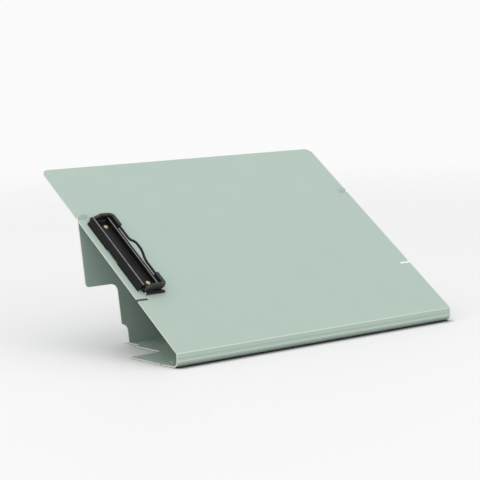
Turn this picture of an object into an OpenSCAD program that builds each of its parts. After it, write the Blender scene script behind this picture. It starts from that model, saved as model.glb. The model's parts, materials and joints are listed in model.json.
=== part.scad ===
// Folding table-top drawing board. One plastic sheet is creased into four panels:
// a board, a narrow front lip, a base and a leg that hooks up into the board's side slots.
// A wire-bail paper clip is riveted along the board's left edge.

/* [Sheet] */
// Width of the sheet, left to right
sheet_w = 450; // [380:1:560]
// Depth of the board panel, from its front crease to its top edge
board_d = 335.5; // [300:0.5:410]
// Thickness of the plastic sheet
sheet_t = 1.5; // [1:0.05:2]
// Radius of the board's two top corners
corner_r = 10; // [4:1:20]
// Tilt of the board in use, in degrees
board_tilt = 36; // [30:0.5:42]

/* [Creases] */
// Height of the front lip between its two creases
lip_h = 9; // [6:0.5:14]
// Radius of the rolled toe, at the middle of the sheet
toe_r = 7.25; // [5:0.25:10]
// Distance from the front lip to the back crease
base_d = 170; // [150:1:205]
// How far a pressed crease lies below the faces of the sheet
crease_recess = 0.1; // [0.05:0.05:0.2]
// Slit between a crease and the panel that turns on it
crease_gap = 0.15; // [0.1:0.05:0.3]

/* [Slots and ears] */
// Distance of the lower side slot from the end of the clip's cover
slot_low_gap = 13.75; // [9:0.25:30]
// Distance of the upper side slot, which the leg hooks into, from the end of the clip's cover
slot_high_gap = 11.25; // [9:0.25:30]
// How far each slot runs in from the side edge
slot_depth = 17; // [12:0.5:24]
// Free play of an ear in its slot, on each face of the ear
slot_slack = 0.4; // [0.25:0.05:0.8]
// Distance of the base's own side slot from the front lip
base_slot_y = 31; // [20:1:45]
// How far the leg's sides stand in from the sides of the board
leg_inset = 1.5; // [0:0.5:2]
// Width of each ear
ear_w = 14; // [9:0.5:14]
// How far an ear stands past the middle of the board's sheet
ear_h = 5; // [4.5:0.5:12]
// Radius of an ear's outer corner
ear_outer_r = 3.5; // [2:0.5:5]
// Radius of an ear's inner corner
ear_inner_r = 1.5; // [1:0.5:3]
// Gap between the leg's shoulder and the underside of the board
shoulder_gap = 0.15; // [0.1:0.05:0.4]

/* [Side cutouts] */
// Width of the cutouts at the sides of the base and the leg
cutout_w = 48; // [35:1:60]
// Distance from the front lip to the front edge of the base's cutout
cutout_base_y = 92; // [75:1:112]
// Height up the leg of the top edge of its cutout
cutout_leg_s = 75; // [60:1:94]
// Radius inside the cutouts' corners
cutout_r = 9; // [4:1:14]
// Radius of the corners that stand out beside a cutout
cutout_tip_r = 5; // [2:0.5:8]
// Extra width cut away beside the back crease
relief_w = 8; // [4:0.5:12]
// Length of that extra cut on each side of the back crease
relief_len = 24; // [14:1:30]

/* [Clip] */
// Distance of the clip's long foot from the left edge of the board
clip_inset = 8.4; // [5:0.1:12]
// Distance of the middle of the clip from the front crease
clip_y = 167.75; // [150:0.25:200]
// Length of the clip's cover
cover_len = 124; // [104:1:150]
// Thickness of the cover's steel
cover_t = 1; // [0.8:0.1:1.2]
// Thickness of the base plate's steel
plate_t = 0.8; // [0.6:0.1:1]
// Slope of the cover's long foot, in degrees
foot_slope = 64; // [60:1:68]
// Slope of the tall ridge's other side, in degrees
ridge_slope = 51; // [46:1:56]
// Gap between the tall ridge's sides and the pivot lugs under it
lug_gap = 0.2; // [0.1:0.05:0.4]
// Bend radius along the top of the tall ridge, at the middle of the steel
ridge_bend_r = 1.1; // [0.9:0.1:1.4]
// Height of the low ridge, beside the bail
low_ridge_h = 7.9; // [6.5:0.1:8.5]
// Gap between the low ridge and the bail's long bar
low_ridge_gap = 1; // [0.8:0.1:3]
// Length of the recess in the cover's foot
foot_recess_len = 25; // [15:1:40]
// Height of the recess in the cover's foot
foot_recess_h = 1.6; // [1:0.1:2.5]
// Radius of the rolled bars at the ends of the base plate
end_bar_r = 1.7; // [1.2:0.1:1.8]

/* [Bail] */
// Diameter of the bail's wire
wire_d = 3.2; // [2.2:0.1:3.2]
// Height of the bail's pivot above the board
pivot_h = 4.6; // [4.5:0.1:4.8]
// Height of the bail's long bar above the board
bar_h = 7.6; // [6.6:0.1:8.6]
// Distance across the board from the pivot to the long bar
bail_reach = 29; // [27:0.5:34]
// Radial clearance of the wire in its pivots
pivot_clear = 0.05; // [0.02:0.01:0.1]
// Bend radius of the bail's pivot elbows
elbow_r = 4; // [3:0.5:5]
// Bend radius of the bail's outer corners
bail_corner_r = 6; // [4:0.5:8]
// Half the length of the finger hump, at its feet
hump_half = 25; // [24:0.5:30]
// Height that the hump rises above the long bar
hump_rise = 6.5; // [6:0.1:7.2]
// Slope of the hump's sides, in degrees
hump_slope = 30; // [25:1:31]
// Bend radius of the hump
hump_r = 22; // [10:0.5:24]
// Clearance between the bail's sleeves and the cover's ends
sleeve_gap = 0.4; // [0.3:0.1:0.8]
// Thickness of a sleeve's arm along the board
sleeve_arm_t = 4.4; // [4.2:0.1:6]
// Thickness of a sleeve's side between the wire and the cover
sleeve_in_wall = 0.6; // [0.4:0.1:0.6]
// Thickness of a sleeve's side beyond the wire
sleeve_out_wall = 1.4; // [1:0.1:2.5]
// Length of a sleeve's side, along the long bar
sleeve_side_len = 23; // [18:1:26]
// Distance across the board from the sleeves' crown to the bail's long bar
sleeve_crown = 12.5; // [10:0.5:14]
// Length of a sleeve's raised block, from its crown towards the pivot
sleeve_block = 6; // [4:0.5:8]
// Length of a sleeve's rounded nose, from its crown towards the pivot
sleeve_nose = 17; // [12:0.5:17]
// How far the nose lies below the block
sleeve_step = 0.9; // [0.5:0.1:1.2]
// Height of the underside of the sleeves above the board, beside the long bar
sleeve_low_h = 4.2; // [3.9:0.1:4.6]
// Height of the underside of a sleeve's nose above the board
sleeve_nose_h = 2.9; // [2.6:0.1:2.9]
// Height of the crown of the sleeves above the board
sleeve_high_h = 12.2; // [11.5:0.1:13]

/* [Rivets and springs] */
// Distance of each rivet from the end of the cover
rivet_end = 10; // [6:0.5:20]
// Distance of the rivets from the channel's edge at the low ridge
rivet_edge = 4.9; // [4.5:0.1:8]
// Diameter of a rivet's shank
rivet_d = 4; // [3:0.1:4.5]
// Diameter of a rivet's head
rivet_head_d = 6.5; // [5.5:0.1:7.5]
// Height of a rivet's head
rivet_head_h = 1.4; // [1:0.1:1.8]
// Radial clearance of a rivet in its holes
rivet_clear = 0.05; // [0.02:0.01:0.1]
// Diameter of the washers under the board
washer_d = 9; // [8:0.5:12]
// Thickness of the washers under the board
washer_t = 0.8; // [0.5:0.1:1.2]
// Diameter of the torsion springs' wire
spring_wire_d = 0.6; // [0.4:0.1:0.6]
// Number of turns of each torsion spring
spring_turns = 7; // [5:1:8]

/* [Hidden] */
$fn = 64;

sheet_green = "#B2C5BA";
coated_black = "#2B292A";
sleeve_black = "#333035";
rivet_brass = "#D9C3A0";
spring_steel = "#8A8C8E";

half_t = sheet_t / 2;
half_w = sheet_w / 2;
past = 1; // how far a cut runs past the face it opens

// Creases: the first joins the board and the lip, the second the lip and the rolled toe.
bead_r = half_t - crease_recess;
panel_start = bead_r + crease_gap;
crease_2_z = toe_r + half_t;
crease_1_z = crease_2_z + lip_h;

// The whole object is centred on its own box and stands on the floor.
y_front = -half_t;
y_back = board_d * cos(board_tilt) + half_t * sin(board_tilt);
y_mid = (y_front + y_back) / 2;

// The side slots of the board lie past the ends of the clip.
cover_half = cover_len / 2;
slot_low_y = clip_y - cover_half - slot_low_gap;
slot_high_y = clip_y + cover_half + slot_high_gap;

// The leg turns about the inner corner of the back crease, and the middle of its sheet
// crosses the middle of the board's sheet at the upper slot.
hook_y = slot_high_y * cos(board_tilt) - base_d;
hook_z = crease_1_z + slot_high_y * sin(board_tilt) - sheet_t;
hook_far = norm([hook_y, hook_z]);
leg_len = sqrt(hook_far * hook_far - half_t * half_t);
leg_lean = atan2(hook_y, hook_z) - asin(half_t / hook_far);
leg_to_board = board_tilt + leg_lean;
shoulder_s = leg_len - (half_t + shoulder_gap + half_t * sin(leg_to_board)) / cos(leg_to_board);
ear_top_s = leg_len + ear_h;
slot_w = sheet_t * (tan(leg_to_board) + 1 / cos(leg_to_board)) + 2 * slot_slack;

// Clip: x runs across the board from its left edge, y along the board from the clip's
// middle, and z up from the face of the board.
floor_top = plate_t + cover_t;
floor_mid = plate_t + cover_t / 2;
wire_r = wire_d / 2;
pivot_r = wire_r + pivot_clear;
lug_r = pivot_r + 0.85;
foot_x = clip_inset + cover_t * 0.6;
flank_from_pivot = lug_r + lug_gap + cover_t / 2;
pivot_x = foot_x + (flank_from_pivot + pivot_h * cos(foot_slope)) / sin(foot_slope);
bar_x = pivot_x + bail_reach;
bail_pitch = atan2(bar_h - pivot_h, bail_reach);
bail_len = norm([bail_reach, bar_h - pivot_h]);
arm_y = cover_half + sleeve_gap + sleeve_arm_t / 2;
plate_left = pivot_x - lug_r;
plate_right = bar_x;
end_bar_left = clip_inset + 7;
end_bar_y = arm_y + sleeve_arm_t / 2 + end_bar_r + 0.5;
lug_t = 2;
lug_out_y = cover_half - 3 - lug_t;
lug_in_y = lug_out_y - 12;
journal_end_y = lug_in_y - 1;
low_ridge_w = 5.5;
channel_right = bar_x - wire_r - low_ridge_gap - cover_t / 2 - low_ridge_w;
rivet_x = channel_right - rivet_edge;
rivet_y = cover_half - rivet_end;
rivet_hole_r = rivet_d / 2 + rivet_clear;
tail_h = 0.9;
tail_d = rivet_d + 2;

// Hump of the bail: two arcs and a straight flank on each side of a flat crest.
flank = (hump_rise - 2 * hump_r * (1 - cos(hump_slope))) / sin(hump_slope);
crest_half = hump_half - 2 * hump_r * sin(hump_slope) - flank * cos(hump_slope);

// Places
module in_frame() translate([0, -y_mid, 0]) children();
module on_board() in_frame() translate([0, 0, crease_1_z]) rotate([board_tilt, 0, 0]) children();
module on_leg() in_frame() translate([0, base_d, sheet_t]) rotate([90 - leg_lean, 0, 0]) children();
module on_clip() on_board() translate([-half_w, clip_y, half_t]) children();
module on_pivot() translate([pivot_x, 0, pivot_h]) rotate([0, -bail_pitch, 0]) children();
module both_sides() {
    children();
    mirror([1, 0, 0]) children();
}
module both_ends() {
    children();
    mirror([0, 1, 0]) children();
}
// Stands a (y, z) outline up and draws it out along x, centred.
module along_x(width) translate([-width / 2, 0, 0]) rotate([90, 0, 90]) linear_extrude(width) children();

// Takes the point off a corner at the origin, where the sheet lies towards +x and +y.
module round_off(r) difference() {
    translate([-past, -past]) square(r + past);
    translate([r, r]) circle(r);
}

// Slot that runs in from a left edge at x = 0, with a round inner end.
module side_slot(y, width) translate([0, y]) {
    translate([-past, -width / 2]) square([slot_depth - width / 2 + past, width]);
    translate([slot_depth - width / 2, 0]) circle(width / 2);
}

// Sheet panels
module board_outline() difference() {
    translate([-half_w, panel_start]) square([sheet_w, board_d - panel_start]);
    both_sides() translate([-half_w, 0]) {
        translate([0, board_d]) rotate(-90) round_off(corner_r);
        side_slot(slot_low_y, slot_w);
        side_slot(slot_high_y, slot_w);
    }
}

module board_panel() color(sheet_green) difference() {
    on_board() translate([0, 0, -half_t]) linear_extrude(sheet_t) board_outline();
    on_clip() rivet_holes(-sheet_t - past, past);
}

module front_lip() color(sheet_green) in_frame() along_x(sheet_w) {
    translate([-half_t, crease_2_z + panel_start]) square([sheet_t, lip_h - panel_start]);
    translate([0, crease_1_z]) circle(bead_r);
}

// A cutout in from the left edge whose far corner is (width, y), open towards +y.
module corner_cut(width, y, length, r) difference() {
    translate([-past, y]) square([width + past, length]);
    translate([width, y]) rotate(90) round_off(r);
}

module base_outline() difference() {
    translate([-half_w, toe_r]) square([sheet_w, base_d - toe_r]);
    both_sides() translate([-half_w, 0]) {
        side_slot(base_slot_y, slot_w);
        corner_cut(cutout_w, cutout_base_y, base_d, cutout_r);
        corner_cut(cutout_w + relief_w, base_d - relief_len, base_d, relief_w);
        translate([0, cutout_base_y]) rotate(-90) round_off(cutout_tip_r);
    }
}

// Rolled toe: a quarter of a tube that turns the lip's vertical sheet into the flat base.
module toe_section() {
    intersection() {
        translate([toe_r, crease_2_z]) difference() {
            circle(toe_r + half_t, $fn = 128);
            circle(toe_r - half_t, $fn = 128);
        }
        translate([-half_t - past, -past]) square([toe_r + half_t + past, crease_2_z + past]);
    }
    translate([0, crease_2_z]) circle(bead_r);
}

// Back of the rear crease: the sheet's outer face turns the corner from base to leg.
module heel_section() intersection() {
    translate([base_d, sheet_t]) circle(sheet_t);
    translate([base_d, sheet_t]) polygon([[0, 0], [0, -2 * sheet_t],
        [2 * sheet_t, -2 * sheet_t], 2 * sheet_t * [cos(leg_lean), -sin(leg_lean)]]);
}

module base_panel() color(sheet_green) in_frame() {
    linear_extrude(sheet_t) base_outline();
    along_x(sheet_w) toe_section();
    along_x(sheet_w - 2 * (cutout_w + relief_w)) heel_section();
}

module ear() difference() {
    translate([0, shoulder_s - past]) square([ear_w, ear_top_s - shoulder_s + past]);
    translate([0, ear_top_s]) rotate(-90) round_off(ear_outer_r);
    translate([ear_w, ear_top_s]) rotate(180) round_off(ear_inner_r);
}

module leg_outline() {
    difference() {
        translate([leg_inset - half_w, crease_gap])
            square([sheet_w - 2 * leg_inset, shoulder_s - crease_gap]);
        both_sides() translate([-half_w, 0]) {
            translate([0, cutout_leg_s]) mirror([0, 1])
                corner_cut(cutout_w, 0, cutout_leg_s + past, cutout_r);
            translate([0, relief_len]) mirror([0, 1])
                corner_cut(cutout_w + relief_w, 0, relief_len + past, relief_w);
            translate([leg_inset, cutout_leg_s]) round_off(cutout_tip_r);
        }
    }
    both_sides() translate([leg_inset - half_w, 0]) ear();
}

module leg_panel() color(sheet_green) on_leg() translate([0, 0, -sheet_t])
    linear_extrude(sheet_t) leg_outline();

// Clip, fixed parts
module rivet_holes(low, high) both_ends() translate([rivet_x, rivet_y, low])
    cylinder(h = high - low, r = rivet_hole_r);

// Flat steel plate on the board, with its ends rolled into bars and four lugs for the bail.
module clip_base_plate() color(coated_black) on_clip() difference() {
    union() {
        translate([plate_left, -lug_out_y - lug_t, 0])
            cube([plate_right - plate_left, 2 * (lug_out_y + lug_t), plate_t]);
        translate([end_bar_left, -end_bar_y, 0])
            cube([plate_right - end_bar_left, 2 * end_bar_y, plate_t]);
        both_ends() {
            translate([end_bar_left, end_bar_y, end_bar_r]) rotate([0, 90, 0])
                cylinder(h = plate_right - end_bar_left, r = end_bar_r);
            for (y = [lug_in_y, lug_out_y]) translate([pivot_x, y + lug_t, 0]) rotate([90, 0, 0])
                linear_extrude(lug_t) {
                    translate([0, pivot_h]) circle(lug_r);
                    translate([-lug_r, 0]) square([2 * lug_r, pivot_h]);
                }
        }
    }
    rivet_holes(-past, plate_t + past);
    translate([pivot_x, cover_half, pivot_h]) rotate([90, 0, 0]) cylinder(h = cover_len, r = pivot_r);
}

// Middle line of the pressed cover, as corners of (x, height, bend radius), from its long foot
// over the tall ridge, which stands round the pivot lugs, through the channel and over the low ridge.
low_crest_mid = low_ridge_h - cover_t / 2;
function ridge_x(h) = pivot_x + (flank_from_pivot - (h - pivot_h) * cos(ridge_slope)) / sin(ridge_slope);
apex_h = (ridge_x(0) - foot_x) / (1 / tan(foot_slope) + 1 / tan(ridge_slope));
cover_corners = [[foot_x, 0, 0], [ridge_x(apex_h), apex_h, ridge_bend_r],
    [ridge_x(floor_mid), floor_mid, 1.2],
    [channel_right, floor_mid, 1.2], [channel_right + 1.6, low_crest_mid, 0.9],
    [channel_right + low_ridge_w - 0.5, low_crest_mid, 0.9],
    [channel_right + low_ridge_w, low_crest_mid - 2.8, 0]];
bend_steps = 5;
function unit(v) = v / norm(v);
function place(corner) = [corner[0], corner[1]];
// Points of the arc of radius r that rounds the corner b between a and c.
function bend(a, b, c, r) = let (
    u = unit(a - b), v = unit(c - b), half = acos(u * v) / 2,
    centre = b + unit(u + v) * r / sin(half),
    from = b + u * r / tan(half) - centre, to = b + v * r / tan(half) - centre,
    start = atan2(from[1], from[0]), turn = (180 - 2 * half) * sign(from[0] * to[1] - from[1] * to[0]))
    [for (i = [0 : bend_steps]) let (t = start + turn * i / bend_steps) centre + r * [cos(t), sin(t)]];
cover_line = let (q = cover_corners, last = len(q) - 1) [place(q[0]),
    for (i = [1 : last - 1]) each bend(place(q[i - 1]), place(q[i]), place(q[i + 1]), q[i][2]),
    place(q[last])];
function left_of(v) = [-v[1], v[0]] / norm(v);
// Mitred point of a line at a distance to its left.
function beside(line, i, distance) = let (
    n = len(line), before = left_of(line[max(i, 1)] - line[max(i, 1) - 1]),
    after = left_of(line[min(i, n - 2) + 1] - line[min(i, n - 2)]), m = unit(before + after))
    line[i] + m * distance / (m * after);
module stroke(line, width) polygon(concat(
    [for (i = [0 : len(line) - 1]) beside(line, i, width / 2)],
    [for (i = [len(line) - 1 : -1 : 0]) beside(line, i, -width / 2)]));

module clip_cover() color(coated_black) on_clip() difference() {
    translate([0, cover_half, 0]) rotate([90, 0, 0]) linear_extrude(cover_len)
        intersection() {
            stroke(cover_line, cover_t);
            square([sheet_w, 2 * apex_h]);
        }
    translate([clip_inset - past, -foot_recess_len / 2, -past])
        cube([3 + past, foot_recess_len, foot_recess_h + past]);
    rivet_holes(plate_t - past, floor_top + past);
}

// Rivets: a domed head in the cover's channel, a shank through the sheet and a flat tail below.
module dome(d, h) {
    r = (d * d / 4 + h * h) / (2 * h);
    rotate_extrude() intersection() {
        translate([0, h - r]) circle(r, $fn = 128);
        square([d / 2, h]);
    }
}

module clip_rivets() color(rivet_brass) on_clip() both_ends() translate([rivet_x, rivet_y, 0]) {
    translate([0, 0, floor_top]) dome(rivet_head_d, rivet_head_h);
    translate([0, 0, -sheet_t - washer_t]) cylinder(h = floor_top + sheet_t + washer_t, d = rivet_d);
    translate([0, 0, -sheet_t - washer_t - tail_h]) cylinder(h = tail_h, d = tail_d);
}

module rivet_washers() color(spring_steel) on_clip() both_ends()
    translate([rivet_x, rivet_y, -sheet_t - washer_t]) difference() {
        cylinder(h = washer_t, d = washer_d);
        translate([0, 0, -past]) cylinder(h = washer_t + 2 * past, r = rivet_hole_r);
    }

// Torsion springs, coiled round the bail's journals between the lugs
spring_r = pivot_r + 0.2 + spring_wire_d / 2;
spring_pitch = spring_wire_d + 0.15;
spring_len = spring_turns * spring_pitch;
turn_steps = 14;
ring_sides = 6;
module bail_spring() {
    steps = spring_turns * turn_steps;
    rings = [for (i = [0 : steps]) let (a = 360 * i / turn_steps, y = spring_len * i / steps)
        for (k = [0 : ring_sides - 1]) let (b = 360 * k / ring_sides,
            r = spring_r + spring_wire_d / 2 * cos(b))
            [r * cos(a), y + spring_wire_d / 2 * sin(b), r * sin(a)]];
    sides = [for (i = [0 : steps - 1], k = [0 : ring_sides - 1])
        let (j = (k + 1) % ring_sides, a = i * ring_sides, b = a + ring_sides)
            [a + k, b + k, b + j, a + j]];
    caps = [[for (k = [0 : ring_sides - 1]) k],
        [for (k = [0 : ring_sides - 1]) (steps + 1) * ring_sides - 1 - k]];
    mid_y = (lug_in_y + lug_t + lug_out_y) / 2;
    translate([pivot_x, mid_y - spring_len / 2, pivot_h]) polyhedron(rings, concat(sides, caps));
}
module bail_spring_near() color(spring_steel) on_clip() mirror([0, 1, 0]) bail_spring();
module bail_spring_far() color(spring_steel) on_clip() bail_spring();

// Clip, moving parts. The bail is drawn flat, with its pivot on the y axis.
wire_sides = 16;
arc_steps = 8;
function arc(from, to) = [for (i = [0 : arc_steps]) from + (to - from) * i / arc_steps];
// Path of half the wire, from inside its journal round two bends and up to the crest of the hump.
half_path = concat(
    [[0, arm_y - elbow_r - wire_d, 0]],
    [for (a = arc(180, 90)) [elbow_r + elbow_r * cos(a), arm_y - elbow_r + elbow_r * sin(a), 0]],
    [for (a = arc(90, 0)) [bail_len - bail_corner_r + bail_corner_r * cos(a),
        arm_y - bail_corner_r + bail_corner_r * sin(a), 0]],
    [for (a = arc(-90, -90 - hump_slope)) [bail_len, hump_half + hump_r * cos(a),
        hump_r + hump_r * sin(a)]],
    [for (a = arc(90 - hump_slope, 90)) [bail_len, crest_half + hump_r * cos(a),
        hump_rise - hump_r + hump_r * sin(a)]]);
function flip_y(p) = [p[0], -p[1], p[2]];
bail_path = concat(half_path, [for (i = [len(half_path) - 1 : -1 : 0]) flip_y(half_path[i])]);

// Round wire along a path, as one closed solid.
module wire_along(path, r) {
    n = len(path);
    rings = [for (i = [0 : n - 1]) let (
        t = unit(path[min(i + 1, n - 1)] - path[max(i - 1, 0)]),
        side = unit([t[1], -t[0], 0]), up = cross(side, t))
        for (k = [0 : wire_sides - 1]) let (b = 360 * k / wire_sides)
            path[i] + r * (cos(b) * side + sin(b) * up)];
    sides = [for (i = [0 : n - 2], k = [0 : wire_sides - 1])
        let (j = (k + 1) % wire_sides, a = i * wire_sides, b = a + wire_sides)
            [a + j, b + j, b + k, a + k]];
    caps = [[for (k = [0 : wire_sides - 1]) k],
        [for (k = [0 : wire_sides - 1]) n * wire_sides - 1 - k]];
    polyhedron(rings, concat(sides, caps));
}
module bail_wire(r) {
    wire_along(bail_path, r * 0.998);
    both_ends() translate([0, journal_end_y, 0]) rotate([-90, 0, 0])
        cylinder(h = arm_y - elbow_r - journal_end_y, r = r);
}

module clip_bail() color(coated_black) on_clip() on_pivot() bail_wire(wire_r);

// Rubber sleeves moulded round the bail's corners, which press the paper down. A raised block
// falls gently from its crown to the long bar, and a lower nose in part of an ellipse to the pivot.
sleeve_side_t = sleeve_in_wall + wire_d + sleeve_out_wall;
sleeve_right = bar_x + wire_r + sleeve_out_wall;
sleeve_out_y = arm_y + sleeve_arm_t / 2;
crown_r = 70;
crown_x = bar_x - sleeve_crown;
crown_steps = 8;
nose_steps = 20;
nose_centre_h = 1;
nose_rise = sleeve_high_h - sleeve_step - nose_centre_h;
nose_start = asin(sleeve_block / sleeve_nose);
nose_end = acos((sleeve_nose_h - nose_centre_h) / nose_rise);
module sleeve_plan() difference() {
    union() {
        translate([crown_x - sleeve_nose, sleeve_out_y - sleeve_arm_t])
            square([sleeve_right - crown_x + sleeve_nose, sleeve_arm_t]);
        translate([sleeve_right - sleeve_side_t, sleeve_out_y - sleeve_side_len])
            square([sleeve_side_t, sleeve_side_len]);
    }
    translate([sleeve_right, sleeve_out_y]) rotate(180) round_off(bail_corner_r + 1);
}
module sleeve_profile() polygon(concat(
    [[sleeve_right, sleeve_low_h]],
    [for (i = [0 : crown_steps])
        let (x = sleeve_right - crown_x - (sleeve_right - crown_x + sleeve_block) * i / crown_steps)
        [crown_x + x, sleeve_high_h - crown_r + sqrt(crown_r * crown_r - x * x)]],
    [for (i = [0 : nose_steps]) let (a = nose_start + (nose_end - nose_start) * i / nose_steps)
        [crown_x - sleeve_nose * sin(a), nose_centre_h + nose_rise * cos(a)]],
    [[bar_x - sleeve_side_t, sleeve_low_h]]));
module bail_sleeve() difference() {
    intersection() {
        linear_extrude(2 * sleeve_high_h) sleeve_plan();
        translate([0, sleeve_out_y, 0]) rotate([90, 0, 0]) linear_extrude(sleeve_side_len) sleeve_profile();
    }
    on_pivot() wire_along(bail_path, wire_r);
}
module bail_sleeve_near() color(sleeve_black) on_clip() mirror([0, 1, 0]) bail_sleeve();
module bail_sleeve_far() color(sleeve_black) on_clip() bail_sleeve();

base_panel();
front_lip();
board_panel();
leg_panel();
clip_base_plate();
clip_cover();
clip_bail();
bail_sleeve_near();
bail_sleeve_far();
bail_spring_near();
bail_spring_far();
clip_rivets();
rivet_washers();
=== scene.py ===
import json
import math

import bmesh
import bpy
from mathutils import Matrix, Vector


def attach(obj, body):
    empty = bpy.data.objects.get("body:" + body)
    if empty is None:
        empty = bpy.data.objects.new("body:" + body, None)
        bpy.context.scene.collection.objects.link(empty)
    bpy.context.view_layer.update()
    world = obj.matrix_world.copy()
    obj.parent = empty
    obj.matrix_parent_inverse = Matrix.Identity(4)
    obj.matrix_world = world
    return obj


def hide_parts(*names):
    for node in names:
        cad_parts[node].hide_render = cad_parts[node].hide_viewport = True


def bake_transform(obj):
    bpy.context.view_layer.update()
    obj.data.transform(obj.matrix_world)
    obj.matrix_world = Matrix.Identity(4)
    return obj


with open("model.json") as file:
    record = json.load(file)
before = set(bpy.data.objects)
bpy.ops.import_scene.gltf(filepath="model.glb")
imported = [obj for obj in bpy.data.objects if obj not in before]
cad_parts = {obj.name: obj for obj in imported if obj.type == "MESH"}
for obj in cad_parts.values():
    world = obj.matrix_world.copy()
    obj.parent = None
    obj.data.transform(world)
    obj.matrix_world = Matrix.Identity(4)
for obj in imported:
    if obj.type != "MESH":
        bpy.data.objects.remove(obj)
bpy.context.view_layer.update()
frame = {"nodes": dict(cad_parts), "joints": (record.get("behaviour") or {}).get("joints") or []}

# ---------------------------------------------------------------- Table, lights and camera
# A plain white table under soft boxes, and a long lens a little above the board's middle.
# The table is matt white laminate; besides the soft shadow the board casts, a darker contact shadow is painted
# into its colour where the board touches it.


def linear(code):
    """The linear colour of an sRGB hex value."""
    parts = [int(code[i : i + 2], 16) / 255 for i in (1, 3, 5)]
    return *[c / 12.92 if c <= 0.04045 else ((c + 0.055) / 1.055) ** 2.4 for c in parts], 1.0


def add(tree, kind, sockets=(), **settings):
    """Adds a node to a tree, with its settings made and its sockets set or linked."""
    node = tree.nodes.new(kind)
    for name, value in settings.items():
        setattr(node, name, value)
    for name, value in dict(sockets).items():
        if isinstance(value, bpy.types.NodeSocket):
            tree.links.new(value, node.inputs[name])
        else:
            node.inputs[name].default_value = value
    return node


def blank_material(name):
    """A new material with only its output and Principled BSDF, and its tree."""
    material = bpy.data.materials.new(name)
    material.use_nodes = True
    tree = material.node_tree
    return material, tree, tree.nodes["Principled BSDF"]


def shown(name, mesh):
    """A new object at the origin with this mesh."""
    obj = bpy.data.objects.new(name, mesh)
    bpy.context.scene.collection.objects.link(obj)
    return obj


scene = bpy.context.scene
scene.view_settings.view_transform = "Standard"
world = bpy.data.worlds.new("white_studio")
world.use_nodes = True
scene.world = world

# Far from the board the table fades into the white of the studio, so that it has no horizon. Where the
# board touches it, ambient occlusion darkens its colour towards a near-black green in a thin band: a
# painted contact shadow.
STUDIO_WHITE, STUDIO_STRENGTH = linear("#FDFDFD"), 0.98
TABLE_WHITE, PAINTED_CONTACT_SHADE = linear("#E4E4E4"), linear("#161A17")
CONTACT_REACH, CONTACT_DEPTH = 0.012, 2.5
FADE_FROM, FADE_TO = 0.5, 3.0
world.node_tree.nodes["Background"].inputs["Color"].default_value = STUDIO_WHITE
world.node_tree.nodes["Background"].inputs["Strength"].default_value = STUDIO_STRENGTH
laminate, tree, surface = blank_material("white_laminate")
# Painted contact shadow: the occlusion, raised to a power, mixes the table's colour towards near-black green.
touch = add(tree, "ShaderNodeAmbientOcclusion", {"Color": TABLE_WHITE, "Distance": CONTACT_REACH}, samples=8)
deep = add(tree, "ShaderNodeMath", {0: touch.outputs["AO"], 1: CONTACT_DEPTH}, operation="POWER")
shade = add(tree, "ShaderNodeMix", {0: deep.outputs[0], 6: PAINTED_CONTACT_SHADE, 7: TABLE_WHITE}, data_type="RGBA")
tree.links.new(shade.outputs[2], surface.inputs["Base Color"])
surface.inputs["Roughness"].default_value = 0.6
surface.inputs["Specular IOR Level"].default_value = 0.2
where = add(tree, "ShaderNodeTexCoord").outputs["Object"]
distance = add(tree, "ShaderNodeVectorMath", {0: where}, operation="LENGTH")
fade = add(tree, "ShaderNodeMapRange", {0: distance.outputs["Value"], 1: FADE_FROM, 2: FADE_TO},
           interpolation_type="SMOOTHSTEP")
studio = add(tree, "ShaderNodeEmission", {"Color": STUDIO_WHITE, "Strength": STUDIO_STRENGTH})
mixed = add(tree, "ShaderNodeMixShader", {0: fade.outputs[0], 1: surface.outputs[0], 2: studio.outputs[0]})
tree.links.new(mixed.outputs[0], tree.nodes["Material Output"].inputs["Surface"])
TABLE_HALF = 80.0
table_top = [(x * TABLE_HALF, y * TABLE_HALF, 0) for x, y in ((-1, -1), (1, -1), (1, 1), (-1, 1))]
table_mesh = bpy.data.meshes.new("table")
table_mesh.from_pydata(table_top, [], [(0, 1, 2, 3)])
table_mesh.materials.append(laminate)
shown("table", table_mesh)


def soft_box(name, place, aim, size, watts):
    """A square soft box at a place, turned to face its aim."""
    light = bpy.data.lights.new(name, "AREA")
    light.shape, light.size, light.energy = "SQUARE", size, watts
    box = bpy.data.objects.new(name, light)
    scene.collection.objects.link(box)
    box.location = place
    box.rotation_euler = (Vector(aim) - Vector(place)).to_track_quat("-Z", "Y").to_euler()


MIDDLE_OF_BOARD = (0, 0, 0.1)
soft_box("overhead_box", (-0.3, 0.5, 2.4), MIDDLE_OF_BOARD, 1.6, 11)
soft_box("left_box", (-2.2, -0.6, 1.4), MIDDLE_OF_BOARD, 1.6, 5)
soft_box("front_box", (0.6, -2.6, 1.1), MIDDLE_OF_BOARD, 1.2, 13)

azimuth, elevation, roll = (math.radians(a) for a in (-39.40, 6.93, -1.28))
level = math.cos(elevation)
back = Vector((math.sin(azimuth) * level, -math.cos(azimuth) * level, math.sin(elevation)))
camera = bpy.data.objects.new("camera", bpy.data.cameras.new("camera"))
scene.collection.objects.link(camera)
camera.data.lens, camera.data.sensor_width = 130.63, 36
camera.matrix_world = (
    Matrix.Translation((-1.4148, -1.7029, 0.3861))
    @ back.to_track_quat("Z", "Y").to_matrix().to_4x4()
    @ Matrix.Rotation(roll, 4, "Z")
)
scene.camera = camera

# ---------------------------------------------------------------- The folded sheet
# One die-cut sheet of 1.5 mm polypropylene with a fine sand grain, creased into four panels: base, lip,
# board and leg. The cut edges show the paler core of the sheet. Each panel follows its CAD solid.

mm = 0.001
SHEET, SHEET_HALF = 1.5 * mm, 225 * mm
TILT, LEAN = math.radians(36), math.radians(8.759)
joints = {j["name"]: Vector(j["pos_m"]) for j in frame["joints"]}
board_way = Vector((0, math.cos(TILT), math.sin(TILT)))
board_up = Vector((0, -math.sin(TILT), math.cos(TILT)))
leg_way = Vector((0, math.sin(LEAN), math.cos(LEAN)))
leg_back = Vector((0, math.cos(LEAN), -math.sin(LEAN)))


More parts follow.
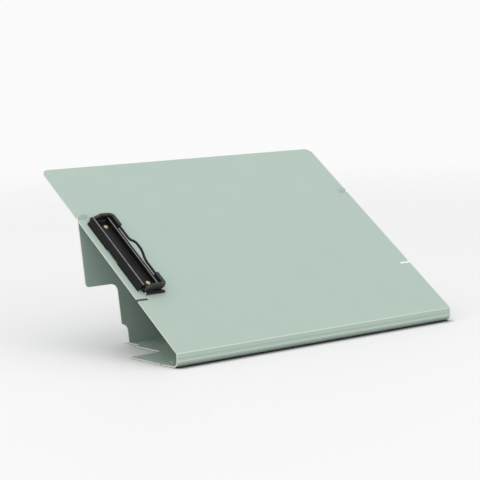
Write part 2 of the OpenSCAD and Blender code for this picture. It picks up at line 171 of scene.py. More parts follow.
def matt_polypropylene(name, code, speck_code, roughness, grain_mm=0.3, grain_depth=0.25):
    """Moulded-in colour of a matt plastic sheet, which gives the eye an even, soft, slightly chalky sheen.
    The sand grain of the calender roll is about 0.15 mm and is drawn coarser, so that it shows close up."""
    material, tree, surface = blank_material(name)
    where = add(tree, "ShaderNodeTexCoord").outputs["Object"]
    cloud = add(tree, "ShaderNodeTexNoise", {"Vector": where, "Scale": 1 / (45 * mm), "Detail": 3.0})
    shades = {0: cloud.outputs["Fac"], 6: linear(code), 7: linear(speck_code)}
    colour = add(tree, "ShaderNodeMix", shades, data_type="RGBA")
    tree.links.new(colour.outputs[2], surface.inputs["Base Color"])
    grain = add(tree, "ShaderNodeTexNoise", {"Vector": where, "Scale": 1 / (grain_mm * mm), "Detail": 2.0})
    height = grain.outputs["Fac"]
    rough = add(tree, "ShaderNodeMapRange", {0: height, 3: roughness - 0.05, 4: roughness + 0.05})
    tree.links.new(rough.outputs[0], surface.inputs["Roughness"])
    bump = add(tree, "ShaderNodeBump", {"Strength": grain_depth, "Distance": 0.03 * mm, "Height": height})
    tree.links.new(bump.outputs["Normal"], surface.inputs["Normal"])
    surface.inputs["IOR"].default_value = 1.49
    return material


sheet_face = matt_polypropylene("grained_green_polypropylene", "#A0B2A8", "#A4B5AC", 0.48)
cut_edge = matt_polypropylene("die_cut_polypropylene_edge", "#D6D8C8", "#DEDED0", 0.6, 0.5, 0.4)

CREASE_REACH = 3.0 * mm


def merged_copy(node):
    """A copy of a CAD node's mesh with its loose triangles joined into whole flat faces."""
    mesh = bmesh.new()
    mesh.from_mesh(frame["nodes"][node].data)
    bmesh.ops.remove_doubles(mesh, verts=mesh.verts, dist=0.002 * mm)
    bmesh.ops.dissolve_limit(mesh, angle_limit=math.radians(0.4), verts=mesh.verts, edges=mesh.edges)
    return mesh


def trim(mesh, place, outward):
    """Cuts off what lies beyond a plane, and leaves the cut open."""
    everything = mesh.verts[:] + mesh.edges[:] + mesh.faces[:]
    bmesh.ops.bisect_plane(mesh, geom=everything, plane_co=place, plane_no=outward,
                           clear_outer=True, dist=0.001 * mm)


def eased(name, mesh, width):
    """An object of this mesh with its hard edges eased to a small radius, and any cut closed."""
    data = bpy.data.meshes.new(name)
    mesh.to_mesh(data)
    mesh.free()
    obj = shown(name, data)
    ease = obj.modifiers.new("eased_edges", "BEVEL")
    ease.width, ease.segments, ease.limit_method, ease.angle_limit = width, 2, "ANGLE", math.radians(28)
    ease.harden_normals = False
    apply_and_close(obj)
    return obj


def apply_and_close(obj):
    """Applies an object's modifiers and closes its openings."""
    bpy.context.view_layer.update()
    obj.data = bpy.data.meshes.new_from_object(obj.evaluated_get(bpy.context.evaluated_depsgraph_get()))
    obj.modifiers.clear()
    mesh = bmesh.new()
    mesh.from_mesh(obj.data)
    openings = [e for e in mesh.edges if e.is_boundary]
    if openings:
        bmesh.ops.holes_fill(mesh, edges=openings, sides=0)
    mesh.to_mesh(obj.data)
    mesh.free()


def even_shading(obj):
    """Lets an object's broad faces rule its shading, so that they look flat beside their eased edges."""
    even = obj.modifiers.new("even_shading", "WEIGHTED_NORMAL")
    even.keep_sharp = True
    apply_and_close(obj)


def finish_sheet(obj, is_cut):
    """Gives the broad faces the grained finish, and the cut edges their paler one."""
    obj.data.materials.clear()
    obj.data.materials.append(sheet_face)
    obj.data.materials.append(cut_edge)
    for face in obj.data.polygons:
        face.material_index = int(is_cut(face))
        face.use_smooth = not is_cut(face)
    groups = {}
    for face in obj.data.polygons:
        for key in face.edge_keys:
            groups.setdefault(key, set()).add(face.material_index)
    sharp = obj.data.attributes.new("sharp_edge", "BOOLEAN", "EDGE")
    sharp.data.foreach_set("value", [len(groups[e.key]) > 1 for e in obj.data.edges])


def fixed(obj, body, slot, *nodes):
    """The piece rides on a body and stands for these CAD nodes, which are hidden. The slot is not used."""
    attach(obj, body)
    if nodes:
        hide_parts(*nodes)


def panel(name, node, body, trims, is_cut):
    """One flat or rolled panel of the sheet, trimmed back from its creases."""
    mesh = merged_copy(node)
    for place, outward in trims:
        trim(mesh, place, outward)
    obj = eased(name, mesh, 0.18 * mm)
    finish_sheet(obj, is_cut)
    even_shading(obj)
    fixed(obj, body, "green_sheet", node)
    return obj


upper, lower, rear = joints["board_crease"], joints["lip_crease"], joints["leg_crease"]
up, rearward = Vector((0, 0, 1)), Vector((0, 1, 0))
TOE = 7.25 * mm
toe_turn = CREASE_REACH / TOE
toe_centre = lower + rearward * TOE
toe_cut_way = Vector((0, math.sin(toe_turn), -math.cos(toe_turn)))

panel("board_sheet", "board_panel", "board", [(upper + board_way * CREASE_REACH, -board_way)],
      lambda f: abs(f.normal.dot(board_up)) < 0.85)
panel("lip_sheet", "front_lip", "lip", [(upper - up * CREASE_REACH, up), (lower + up * CREASE_REACH, -up)],
      lambda f: abs(f.normal.x) > 0.5)
panel("base_sheet", "base_panel", "base",
      [(toe_centre, -toe_cut_way), (rear - rearward * CREASE_REACH, rearward)],
      lambda f: abs(f.normal.x) > 0.5 or (f.center.y > lower.y + TOE and abs(f.normal.z) < 0.85))
panel("leg_sheet", "leg_panel", "leg", [(rear + leg_way * CREASE_REACH, -leg_way)],
      lambda f: abs(f.normal.dot(leg_back)) < 0.85)


# ---------------------------------------------------------------- The three creases
# Where the sheet bends it is pressed to a thin live hinge: a fine bead between two shallow grooves outside
# and a deeper groove inside. Stretching turns the plastic pale. Each crease is one strip, bent to its rest
# shape, between two panels.


def stress_whitened(name, code, pale_code, half_width):
    """The sheet's plastic where a crease has stretched it, which gives the eye one thin, pale, broken line.
    The line follows the crease by the strip's own map, in metres along it and across it."""
    material = matt_polypropylene(name, code, code, 0.5)
    tree = material.node_tree
    surface = tree.nodes["Principled BSDF"]
    base = surface.inputs["Base Color"].links[0].from_socket
    mapped = add(tree, "ShaderNodeUVMap", uv_map="along_and_across").outputs["UV"]
    parts = add(tree, "ShaderNodeSeparateXYZ", {"Vector": mapped})
    across = add(tree, "ShaderNodeMath", {0: parts.outputs["Y"]}, operation="ABSOLUTE")
    edge = {0: across.outputs[0], 1: half_width * 0.45, 2: half_width, 3: 1.0, 4: 0.0}
    line = add(tree, "ShaderNodeMapRange", edge, interpolation_type="SMOOTHSTEP")
    broken = add(tree, "ShaderNodeTexNoise", {"Vector": mapped, "Scale": 1 / (6 * mm), "Detail": 4.0})
    patchy = add(tree, "ShaderNodeMapRange", {0: broken.outputs["Fac"], 1: 0.3, 2: 0.7, 3: 0.72, 4: 1.0})
    amount = add(tree, "ShaderNodeMath", {0: line.outputs[0], 1: patchy.outputs[0]}, operation="MULTIPLY")
    shades = {0: amount.outputs[0], 6: base, 7: linear(pale_code)}
    mixed = add(tree, "ShaderNodeMix", shades, data_type="RGBA")
    tree.links.new(mixed.outputs[2], surface.inputs["Base Color"])
    return material


crease_line = stress_whitened("stress_whitened_crease", "#A2B4AA", "#CFD5C4", 0.45 * mm)


def steps_between(start, end, count):
    """Values at even steps from start to end."""
    return [start + (end - start) * i / count for i in range(count + 1)]


def arc(a, b, radius, start, end, count=10):
    """Points of an arc about the centre (a, b), with its angles in radians."""
    return [(a + radius * math.cos(t), b + radius * math.sin(t)) for t in steps_between(start, end, count)]


def even_points(corners, spacing):
    """Points at an even spacing along a line of corners."""
    points = [Vector(corners[0])]
    for a, b in zip(corners, corners[1:]):
        a, b = Vector(a), Vector(b)
        steps = max(1, round((b - a).length / spacing))
        points += [a + (b - a) * i / steps for i in range(1, steps + 1)]
    return points


GROOVE_AT, GROOVE_HALF, GROOVE_DEPTH = 0.8, 0.25, 0.05 * mm
HINGE_HALF, HINGE_DEPTH = 0.45, 0.3 * mm


def crease_strip(name, axis, corners, outside, half_width, bend):
    """The bent part of the sheet at one crease, from a line through the sheet's middle, given from the axis.
    Outside is 1 where the outer face lies left of the line. Bend gives where the bending starts and ends; the
    points made from it are not used."""
    middle = even_points(corners, 0.16 * mm)
    lengths = [0.0]
    for a, b in zip(middle, middle[1:]):
        lengths.append(lengths[-1] + (b - a).length)
    crease_at = lengths[-1] / 2
    outer, inner, across = [], [], []
    for i, point in enumerate(middle):
        way = (middle[min(i + 1, len(middle) - 1)] - middle[max(i - 1, 0)]).normalized()
        left = Vector((-way.y, way.x)) * outside
        far = abs(lengths[i] - crease_at) / mm
        groove = GROOVE_DEPTH * math.exp(-(((far - GROOVE_AT) / GROOVE_HALF) ** 2))
        hinge = HINGE_DEPTH * math.exp(-((far / HINGE_HALF) ** 2))
        outer.append(point + left * (SHEET / 2 - groove))
        inner.append(point - left * (SHEET / 2 - hinge))
        across.append(lengths[i] - crease_at)
    ring = outer + inner[::-1]
    ring_across = across + across[::-1]
    mesh = bmesh.new()
    ends = [[mesh.verts.new((x, axis.y + q.x, axis.z + q.y)) for q in ring]
            for x in (-half_width, half_width)]
    layer = mesh.loops.layers.uv.new("along_and_across")
    count = len(ring)
    for i in range(count):
        j = (i + 1) % count
        face = mesh.faces.new((ends[0][i], ends[0][j], ends[1][j], ends[1][i]))
        face.smooth = True
        for loop, k in zip(face.loops, (i, j, j, i)):
            loop[layer].uv = (loop.vert.co.x, ring_across[k])
    for end in ends:
        mesh.faces.new(end).material_index = 1
    bmesh.ops.recalc_face_normals(mesh, faces=mesh.faces)
    for face in mesh.faces:
        if face.material_index == 1:
            for edge in face.edges:
                edge.smooth = False
    data = bpy.data.meshes.new(name)
    mesh.to_mesh(data)
    mesh.free()
    data.materials.append(crease_line)
    data.materials.append(cut_edge)
    strip = shown(name, data)
    start, end = (axis + Vector((0, y, z)) for y, z in bend)
    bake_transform(strip)


FOLD = 2.4 * mm
fold_start = FOLD * math.tan((math.pi / 2 - TILT) / 2)
REAR_HALF = 169 * mm
board_in_plane, leg_in_plane, leg_face = board_way.yz, leg_way.yz, leg_back.yz * (SHEET / 2)
crease_strip(
    "upper_crease", upper,
    [(0, -CREASE_REACH), *arc(FOLD, -fold_start, FOLD, math.pi, math.pi / 2 + TILT, 12),
     board_in_plane * CREASE_REACH],
    1, SHEET_HALF, [(0, -0.6 * mm), board_in_plane * (0.6 * mm)])
crease_strip(
    "lower_crease", lower,
    [*arc(TOE, 0, TOE, math.pi + toe_turn, math.pi, 12), (0, CREASE_REACH)],
    1, SHEET_HALF, [(0, -0.5 * mm), (0, 0.5 * mm)])
crease_strip(
    "rear_crease", rear,
    [(-CREASE_REACH, -SHEET / 2), *arc(0, 0, SHEET / 2, -math.pi / 2, -LEAN, 12),
     leg_face + leg_in_plane * CREASE_REACH],
    -1, REAR_HALF, [(-0.3 * mm, -SHEET / 2), leg_face + leg_in_plane * (0.3 * mm)])

# ---------------------------------------------------------------- Clip: base plate and cover
# Two steel pressings, blanked, bent and dipped in a black electrophoretic coat. The base plate's ends are
# rolled into bars and its lugs hold the bail. The cover has a tall hollow ridge over them, and a low one.

CLIP_MIDDLE = 167.75 * mm
clip_origin = upper + board_way * CLIP_MIDDLE + board_up * (SHEET / 2) - Vector((SHEET_HALF, 0, 0))


def on_clip(x, y, h):
    """The place of a clip point in mm: x from the board's left edge, y along the board, h above it."""
    return clip_origin + Vector((x * mm, 0, 0)) + board_way * (y * mm) + board_up * (h * mm)


def dipped_black(name, code, roughness, painted_highlight_lines=()):
    """Black coat on pressed steel, thin and satin, which gives the eye a deep black with little glare.
    Its last argument lists lines along the board, as (point, half width), where a pale grey painted
    highlight, broken up by noise, is mixed into the coat's colour along a bend."""
    material, tree, surface = blank_material(name)
    where = add(tree, "ShaderNodeTexCoord").outputs["Object"]
    peel = add(tree, "ShaderNodeTexNoise", {"Vector": where, "Scale": 1 / (0.8 * mm), "Detail": 1.0})
    height = peel.outputs["Fac"]
    bump = add(tree, "ShaderNodeBump", {"Strength": 0.12, "Distance": 0.03 * mm, "Height": height})
    tree.links.new(bump.outputs["Normal"], surface.inputs["Normal"])
    cloud = add(tree, "ShaderNodeTexNoise", {"Vector": where, "Scale": 1 / (9 * mm), "Detail": 4.0})
    limits = {3: roughness - 0.05, 4: roughness + 0.07}
    rough = add(tree, "ShaderNodeMapRange", {0: cloud.outputs["Fac"], **limits})
    tree.links.new(rough.outputs[0], surface.inputs["Roughness"])
    surface.inputs["Specular IOR Level"].default_value = 0.2
    colour = linear(code)
    # Painted highlights: near each of the last argument's lines the coat's colour is mixed towards pale grey,
    # broken up by this noise.
    highlight_breakup_noise = add(tree, "ShaderNodeTexNoise", {"Vector": where, "Scale": 1 / (5 * mm), "Detail": 4.0})
    highlight_breakup = add(tree, "ShaderNodeMapRange", {0: highlight_breakup_noise.outputs["Fac"], 1: 0.3, 2: 0.6, 3: 0.45, 4: 0.9})
    for point, half_width in painted_highlight_lines:
        away = add(tree, "ShaderNodeVectorMath", {0: where, 1: point}, operation="SUBTRACT").outputs[0]
        off = add(tree, "ShaderNodeVectorMath", {0: away, 1: board_way}, operation="CROSS_PRODUCT").outputs[0]
        far = add(tree, "ShaderNodeVectorMath", {0: off}, operation="LENGTH").outputs["Value"]
        near = add(tree, "ShaderNodeMapRange", {0: far, 1: half_width * 0.5, 2: half_width, 3: 1.0, 4: 0.0})
        highlight_inputs = {0: near.outputs[0], 1: highlight_breakup.outputs[0]}
        amount = add(tree, "ShaderNodeMath", highlight_inputs, operation="MULTIPLY")
        shades = {0: amount.outputs[0], 6: colour, 7: linear("#8C8C90")}
        colour = add(tree, "ShaderNodeMix", shades, data_type="RGBA").outputs[2]
    if painted_highlight_lines:
        tree.links.new(colour, surface.inputs["Base Color"])
    else:
        surface.inputs["Base Color"].default_value = colour
    return material


def turned_metal(name, code, roughness, mark_mm):
    """Bare turned or pressed metal with faint marks from its tool, which gives a soft broken glint."""
    material, tree, surface = blank_material(name)
    where = add(tree, "ShaderNodeTexCoord").outputs["Object"]
    marks = add(tree, "ShaderNodeTexNoise", {"Vector": where, "Scale": 1 / (mark_mm * mm), "Detail": 3.0})
    height = marks.outputs["Fac"]
    rough = add(tree, "ShaderNodeMapRange", {0: height, 3: roughness - 0.08, 4: roughness + 0.1})
    tree.links.new(rough.outputs[0], surface.inputs["Roughness"])
    bump = add(tree, "ShaderNodeBump", {"Strength": 0.1, "Distance": 0.02 * mm, "Height": height})
    tree.links.new(bump.outputs["Normal"], surface.inputs["Normal"])
    surface.inputs["Base Color"].default_value = linear(code)
    surface.inputs["Metallic"].default_value = 1.0
    return material


APEX_X, APEX_H = 14.13, 10.1
LOW_RIDGE_X, LOW_RIDGE_H = 36.9, 7.7
# The two lines are painted highlights along the tall ridge's crest and the low ridge's bend.
black_coat = dipped_black("black_dip_coat_on_steel", "#100F11", 0.36, [
    (on_clip(APEX_X, 0, APEX_H), 0.9 * mm), (on_clip(LOW_RIDGE_X, 0, LOW_RIDGE_H), 0.7 * mm)])


def shade_by_angle(obj, degrees):
    """Smooth faces, with a hard line only where two faces meet at more than this angle."""
    mesh = bmesh.new()
    mesh.from_mesh(obj.data)
    for face in mesh.faces:
        face.smooth = True
    for edge in mesh.edges:
        if len(edge.link_faces) == 2 and edge.calc_face_angle(0) > math.radians(degrees):
            edge.smooth = False
    mesh.to_mesh(obj.data)
    mesh.free()


def pressing(name, node, body, finish, slot, ease_mm):
    """A pressed piece from its CAD solid, with its sheared edges eased."""
    obj = eased(name, merged_copy(node), ease_mm * mm)
    obj.data.materials.clear()
    obj.data.materials.append(finish)
    shade_by_angle(obj, 24)
    even_shading(obj)
    fixed(obj, body, slot, node)
    return obj


# The coat is worn off the sheared left ends of the two rolled bars.
END_BAR_LEFT, END_BARS_FROM = 15.4, 66
plate = pressing("base_plate_pressing", "clip_base_plate", "board", black_coat, "black_steel", 0.12)
plate.data.materials.append(turned_metal("bare_sheared_steel", "#EDEDF0", 0.5, 0.5))
bare_up_to = on_clip(END_BAR_LEFT + 0.4, 0, 0).x
for face in plate.data.polygons:
    off_middle = abs((face.center - clip_origin).dot(board_way))
    if face.center.x < bare_up_to and off_middle > END_BARS_FROM * mm:
        face.material_index = 1
pressing("cover_pressing", "clip_cover", "board", black_coat, "black_steel", 0.14)

# ---------------------------------------------------------------- Clip: rivets and washers
# Two tubular brass rivets hold the clip: a domed head in the channel, and a tail rolled over a zinc-plated
# steel washer under the sheet. Both rows are laid out by one rule, at the same two places.


def lathe(name, profile, steps):
    """A turned piece from (radius, height) points in mm that run from the bottom of the axis to its top."""
    mesh = bmesh.new()
    rings = []
    for radius, height in profile:
        if radius == 0:
            rings.append([mesh.verts.new((0, 0, height * mm))])
        else:
            turns = [math.tau * k / steps for k in range(steps)]
            rings.append([mesh.verts.new((radius * mm * math.cos(a), radius * mm * math.sin(a), height * mm))
                          for a in turns])
    for low, high in zip(rings, rings[1:]):
        for k in range(steps):
            j = (k + 1) % steps
            corners = [low[k % len(low)], low[j % len(low)], high[j % len(high)], high[k % len(high)]]
            mesh.faces.new(list(dict.fromkeys(corners)))
    if rings[0][0].co.to_2d().length > 0:
        for k in range(steps):
            j = (k + 1) % steps
            mesh.faces.new([rings[-1][k], rings[-1][j], rings[0][j], rings[0][k]])
    bmesh.ops.recalc_face_normals(mesh, faces=mesh.faces)
    for face in mesh.faces:
        face.smooth = True
    for edge in mesh.edges:
        edge.smooth = edge.calc_face_angle(0) < math.radians(35)
    data = bpy.data.meshes.new(name)
    mesh.to_mesh(data)
    mesh.free()
    return shown(name, data)


def shape_tree(name, inputs):
    """An empty Geometry Nodes tree with named inputs, and its group input's sockets."""
    tree = bpy.data.node_groups.new(name, "GeometryNodeTree")
    tree.interface.new_socket("Geometry", in_out="INPUT", socket_type="NodeSocketGeometry")
    for label, kind in inputs.items():
        tree.interface.new_socket(label, in_out="INPUT", socket_type="NodeSocket" + kind)
    tree.interface.new_socket("Geometry", in_out="OUTPUT", socket_type="NodeSocketGeometry")
    return tree, add(tree, "NodeGroupInput").outputs


def end_tree(tree, geometry, finish):
    """Realizes what a tree has made and gives it its finish."""
    real = add(tree, "GeometryNodeRealizeInstances", {"Geometry": geometry})
    painted = add(tree, "GeometryNodeSetMaterial", {"Geometry": real.outputs[0], "Material": finish})
    add(tree, "NodeGroupOutput", {"Geometry": painted.outputs[0]})


def grown(name, tree, mesh=None, **values):
    """The plain mesh that a tree makes with these inputs, as an object."""
    obj = shown(name, mesh or bpy.data.meshes.new(name + "_seed"))
    shape = obj.modifiers.new("shape", "NODES")
    shape.node_group = tree
    names = {i.name: i.identifier for i in tree.interface.items_tree if i.in_out == "INPUT"}
    for label, value in values.items():
        shape[names[label.replace("_", " ")]] = value
    bpy.context.view_layer.update()
    obj.data = bpy.data.meshes.new_from_object(obj.evaluated_get(bpy.context.evaluated_depsgraph_get()))
    obj.modifiers.clear()
    return obj


row_tree, given = shape_tree("fastener_row", {
    "Count": "Int", "First": "Vector", "Step": "Vector", "Turn": "Vector",
    "Fastener": "Object", "Finish": "Material"})
places = add(row_tree, "GeometryNodeMeshLine", {
    "Count": given["Count"], "Start Location": given["First"], "Offset": given["Step"]})
piece = add(row_tree, "GeometryNodeObjectInfo", {"Object": given["Fastener"]})
angle = add(row_tree, "FunctionNodeEulerToRotation", {0: given["Turn"]})
row = add(row_tree, "GeometryNodeInstanceOnPoints", {
    "Points": places.outputs[0], "Instance": piece.outputs["Geometry"], "Rotation": angle.outputs[0]})
end_tree(row_tree, row.outputs[0], given["Finish"])

brass = turned_metal("tumbled_brass", "#C2B391", 0.45, 0.7)
zinc = turned_metal("zinc_plated_steel", "#AEB0B2", 0.34, 0.9)

RIVET_X, RIVET_Y = 30.304, 52
FLOOR_TOP, HEAD_R, HEAD_H, SHANK_R = 1.8, 3.25, 1.4, 2.0
WASHER_T, WASHER_R, BORE_R = 0.8, 4.5, 2.05
WASHER_LOW = -SHEET / mm - WASHER_T
rolled_tail = [(0, -0.35), (1.0, -0.4), (1.35, -0.75), (1.9, -0.9), (2.5, -0.82), (2.95, -0.5), (3.0, 0)]
head = [(HEAD_R * math.cos(a), HEAD_H * math.sin(a)) for a in (math.radians(10 * i) for i in range(9))]
rivet = lathe("rivet_form", [
    *[(r, WASHER_LOW + h) for r, h in rolled_tail], (SHANK_R, WASHER_LOW), (SHANK_R, FLOOR_TOP),
    *[(r, FLOOR_TOP + h) for r, h in head], (0, FLOOR_TOP + HEAD_H)], 40)
eased_rim = [(WASHER_R - 0.15, 0), (WASHER_R, 0.15), (WASHER_R, WASHER_T - 0.15), (WASHER_R - 0.15, WASHER_T)]
washer = lathe("washer_form", [
    (r, WASHER_LOW + h) for r, h in [(BORE_R, 0), *eased_rim, (BORE_R, WASHER_T)]], 40)
first_rivet, to_second = on_clip(RIVET_X, -RIVET_Y, 0), board_way * (2 * RIVET_Y * mm)
for name, form, finish, slot, node in (
        ("brass_rivets", rivet, brass, "rivet_brass", "clip_rivets"),
        ("zinc_washers", washer, zinc, "spring_steel", "rivet_washers")):
    pair = grown(name, row_tree, Count=2, First=first_rivet, Step=to_second, Turn=(TILT, 0, 0),
                 Fastener=form, Finish=finish)
    bpy.data.objects.remove(form)
    fixed(pair, "board", slot, node)

# ---------------------------------------------------------------- Clip: bail and springs
# The bail is one length of black-coated 3.2 mm spring wire with a finger hump in its long bar. Inside the
# tall ridge, two torsion springs of 0.6 mm music wire are coiled round its ends and press it down.

wire_tree, given = shape_tree("round_wire", {"Wire radius": "Float", "Sides": "Int", "Finish": "Material"})
line = add(wire_tree, "GeometryNodeMeshToCurve", {"Mesh": given["Geometry"]})
section = add(wire_tree, "GeometryNodeCurvePrimitiveCircle", {
    "Resolution": given["Sides"], "Radius": given["Wire radius"]})
tube = add(wire_tree, "GeometryNodeCurveToMesh", {
    "Curve": line.outputs[0], "Profile Curve": section.outputs[0], "Fill Caps": True})
soft = add(wire_tree, "GeometryNodeSetShadeSmooth", {"Geometry": tube.outputs[0]})
end_tree(wire_tree, soft.outputs[0], given["Finish"])

PIVOT_X, PIVOT_H, BAR_H, REACH = 14.804, 4.6, 7.6, 29.0
JOURNAL_IN_Y, JOURNAL_OUT_Y, ARM_Y, ELBOW, CORNER = 44, 52, 64.6, 4.0, 6.0
HUMP_HALF, HUMP_RISE, HUMP_R, HUMP_SLOPE = 25.0, 6.5, 22.0, math.radians(30)
bail_pitch = math.atan2(BAR_H - PIVOT_H, REACH)
bail_long = math.hypot(REACH, BAR_H - PIVOT_H)


def on_bail(x, y, z):
    """The place of a bail point, with the bail laid flat and its pivot on the y axis, in mm."""
    c, s = math.cos(bail_pitch), math.sin(bail_pitch)
    return on_clip(PIVOT_X + x * c - z * s, y, PIVOT_H + x * s + z * c)


flank = (HUMP_RISE - 2 * HUMP_R * (1 - math.cos(HUMP_SLOPE))) / math.sin(HUMP_SLOPE)
crest = HUMP_HALF - 2 * HUMP_R * math.sin(HUMP_SLOPE) - flank * math.cos(HUMP_SLOPE)
quarter = math.pi / 2
elbow_bend = arc(ELBOW, ARM_Y - ELBOW, ELBOW, math.pi, quarter)
corner_bend = arc(bail_long - CORNER, ARM_Y - CORNER, CORNER, quarter, 0)
hump_foot = arc(HUMP_HALF, HUMP_R, HUMP_R, -quarter, -quarter - HUMP_SLOPE)
hump_crest = arc(crest, HUMP_RISE - HUMP_R, HUMP_R, quarter - HUMP_SLOPE, quarter)
half_bail = [(0, JOURNAL_IN_Y, 0), (0, JOURNAL_OUT_Y, 0), *[(x, y, 0) for x, y in elbow_bend + corner_bend],
             *[(bail_long, y, z) for y, z in hump_foot + hump_crest]]
path = [on_bail(*p) for p in half_bail + [(x, -y, z) for x, y, z in reversed(half_bail)]]
wire_line = bpy.data.meshes.new("bail_line")
wire_line.from_pydata(path, [(i, i + 1) for i in range(len(path) - 1)], [])
black_wire = dipped_black("black_coated_spring_wire", "#171618", 0.32)
bail = grown("bail_wire", wire_tree, wire_line, Wire_radius=1.6 * mm, Sides=28, Finish=black_wire)
fixed(bail, "bail", "black_wire", "clip_bail")

coil_tree, given = shape_tree("torsion_coil", {
    "Turns": "Float", "Coil radius": "Float", "Length": "Float", "Wire radius": "Float",
    "Place": "Vector", "Turn": "Vector", "Finish": "Material"})
helix = add(coil_tree, "GeometryNodeCurveSpiral", {
    "Resolution": 28, "Rotations": given["Turns"], "Height": given["Length"],
    "Start Radius": given["Coil radius"], "End Radius": given["Coil radius"]})
section = add(coil_tree, "GeometryNodeCurvePrimitiveCircle", {
    "Resolution": 10, "Radius": given["Wire radius"]})
coil = add(coil_tree, "GeometryNodeCurveToMesh", {
    "Curve": helix.outputs[0], "Profile Curve": section.outputs[0], "Fill Caps": True})
angle = add(coil_tree, "FunctionNodeEulerToRotation", {0: given["Turn"]})
stood = add(coil_tree, "GeometryNodeTransform", {
    "Geometry": coil.outputs[0], "Translation": given["Place"], "Rotation": angle.outputs[0]})
soft = add(coil_tree, "GeometryNodeSetShadeSmooth", {"Geometry": stood.outputs[0]})
end_tree(coil_tree, soft.outputs[0], given["Finish"])
music_wire = turned_metal("music_wire", "#8F9193", 0.3, 0.5)
COIL_LENGTH, COIL_MIDDLE = 5.25, 52.0
for name, node, side in (("near_coil", "bail_spring_near", -1), ("far_coil", "bail_spring_far", 1)):
    start = on_clip(PIVOT_X, side * COIL_MIDDLE - COIL_LENGTH / 2, PIVOT_H)
    spring = grown(name, coil_tree, Turns=7.0, Coil_radius=2.15 * mm, Length=COIL_LENGTH * mm,
                   Wire_radius=0.3 * mm, Place=start, Turn=(TILT - quarter, 0, 0), Finish=music_wire)
    fixed(spring, "board", "spring_steel", node)

# ---------------------------------------------------------------- Clip: corner sleeves
# Nitrile rubber moulded round the two corners of the bail, which grips the paper and guards the fingers.
# Each is a fat rounded bar that follows the wire's corner, with a crowned top that falls away to its side.


def moulded_rubber(name, code):
    """Black nitrile rubber from an etched mould, with a 0.5 mm texture. It gives the eye a soft grey sheen."""
    material, tree, surface = blank_material(name)
    where = add(tree, "ShaderNodeTexCoord").outputs["Object"]
    etch = add(tree, "ShaderNodeTexNoise", {"Vector": where, "Scale": 1 / (0.5 * mm), "Detail": 3.0})
    height = etch.outputs["Fac"]
    bump = add(tree, "ShaderNodeBump", {"Strength": 0.25, "Distance": 0.04 * mm, "Height": height})
    tree.links.new(bump.outputs["Normal"], surface.inputs["Normal"])
    rough = add(tree, "ShaderNodeMapRange", {0: height, 3: 0.4, 4: 0.55})
    tree.links.new(rough.outputs[0], surface.inputs["Roughness"])
    surface.inputs["Base Color"].default_value = linear(code)
    surface.inputs["IOR"].default_value = 1.52
    return material


rubber = moulded_rubber("moulded_nitrile_rubber", "#151416")
SLEEVE_LOW, SLEEVE_NOSE_LOW, SLEEVE_HIGH, CROWN_R, NOSE = 4.2, 2.9, 12.2, 70.0, 17.0
BLOCK = 6.0
CROWN_X = PIVOT_X + REACH - 12.5
BLOCK_LEFT = CROWN_X - BLOCK
NOSE_CENTRE, NOSE_RISE = 1.0, 10.3
SLEEVE_END_Y, ARM_T, SIDE_T = 43.8, 4.4, 5.2
SIDE_X = PIVOT_X + REACH + 0.4
SLEEVE_TURN = 4.3
ENDS_EASED = [(0.0, 1.3), (0.15, 0.75), (0.5, 0.3), (1.2, 0.0)]
nose_start, nose_end = math.asin(BLOCK / NOSE), math.acos((SLEEVE_NOSE_LOW - NOSE_CENTRE) / NOSE_RISE)
SLEEVE_LEFT = CROWN_X - NOSE * math.sin(nose_end)


def rounded_ring(width, low, high, radius, steps=4):
    """Points round an upright rectangle with rounded corners, as (sideways, height) in mm."""
    ring = []
    in_side, top, foot = width / 2 - radius, high - radius, low + radius
    for k, (u, h) in enumerate(((in_side, top), (-in_side, top), (-in_side, foot), (in_side, foot))):
        ring += arc(u, h, radius, k * quarter, (k + 1) * quarter, steps)
    return ring


def sleeve_top(x):
    """Height of a sleeve's top: part of an ellipse over the nose and a gentle crown over the block."""
    if x < BLOCK_LEFT:
        return NOSE_CENTRE + NOSE_RISE * math.sqrt(max(0.0, 1 - ((CROWN_X - x) / NOSE) ** 2))
    return SLEEVE_HIGH - CROWN_R + math.sqrt(CROWN_R**2 - (x - CROWN_X) ** 2)


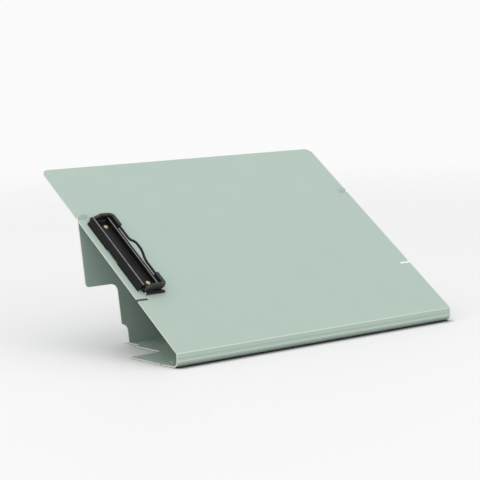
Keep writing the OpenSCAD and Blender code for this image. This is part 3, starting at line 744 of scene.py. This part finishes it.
def sleeve_underside(x):
    """Height of a sleeve's underside, which rises evenly from the nose to the inside of the side."""
    run = (x - SLEEVE_LEFT) / (PIVOT_X + REACH - SIDE_T - SLEEVE_LEFT)
    return SLEEVE_NOSE_LOW + (SLEEVE_LOW - SLEEVE_NOSE_LOW) * min(1.0, max(0.0, run))


def sleeve(name, node, side):
    """One sleeve, lofted along the wire's corner. Side is 1 for the far one and -1 for the near one."""
    turn_x, turn_y = SIDE_X - SLEEVE_TURN, ARM_Y - SLEEVE_TURN
    nose = [(CROWN_X - NOSE * math.sin(a), ARM_Y, 0.0)
            for a in steps_between(nose_end, nose_start + 0.004, 14)]
    block = [(x, ARM_Y, 0.0) for x in steps_between(BLOCK_LEFT + 0.08, turn_x - 1, 6)]
    bend = [(turn_x + SLEEVE_TURN * math.sin(a), turn_y + SLEEVE_TURN * math.cos(a), a)
            for a in steps_between(0, quarter, 8)]
    drop = [(SIDE_X, y, quarter) for y in steps_between(turn_y - 2, SLEEVE_END_Y, 8)]
    way = nose + block + bend + drop
    stations = [(x, y, a, 0.0) for x, y, a in way[1:-1]]
    stations += [(SIDE_X, SLEEVE_END_Y + along, quarter, shrink) for along, shrink in reversed(ENDS_EASED)]
    mesh = bmesh.new()
    rings = []
    for x, y, a, shrink in stations:
        width = ARM_T + (SIDE_T - ARM_T) * a / quarter - 2 * shrink
        low, high = sleeve_underside(x) + shrink, sleeve_top(x) - shrink
        ring = rounded_ring(width, low, high, max(0.3, min(1.5, (high - low) / 2 - 0.05) - shrink))
        rings.append([mesh.verts.new(on_clip(x + u * math.sin(a), side * (y + u * math.cos(a)), h))
                      for u, h in ring])
    for one, two in zip(rings, rings[1:]):
        for k in range(len(one)):
            j = (k + 1) % len(one)
            mesh.faces.new((one[k], one[j], two[j], two[k]))
    mesh.faces.new(rings[0])
    mesh.faces.new(rings[-1])
    bmesh.ops.recalc_face_normals(mesh, faces=mesh.faces)
    for face in mesh.faces:
        face.smooth = True
    data = bpy.data.meshes.new(name)
    mesh.to_mesh(data)
    mesh.free()
    data.materials.append(rubber)
    fixed(shown(name, data), "bail", "black_rubber", node)


sleeve("near_sleeve", "bail_sleeve_near", -1)
sleeve("far_sleeve", "bail_sleeve_far", 1)
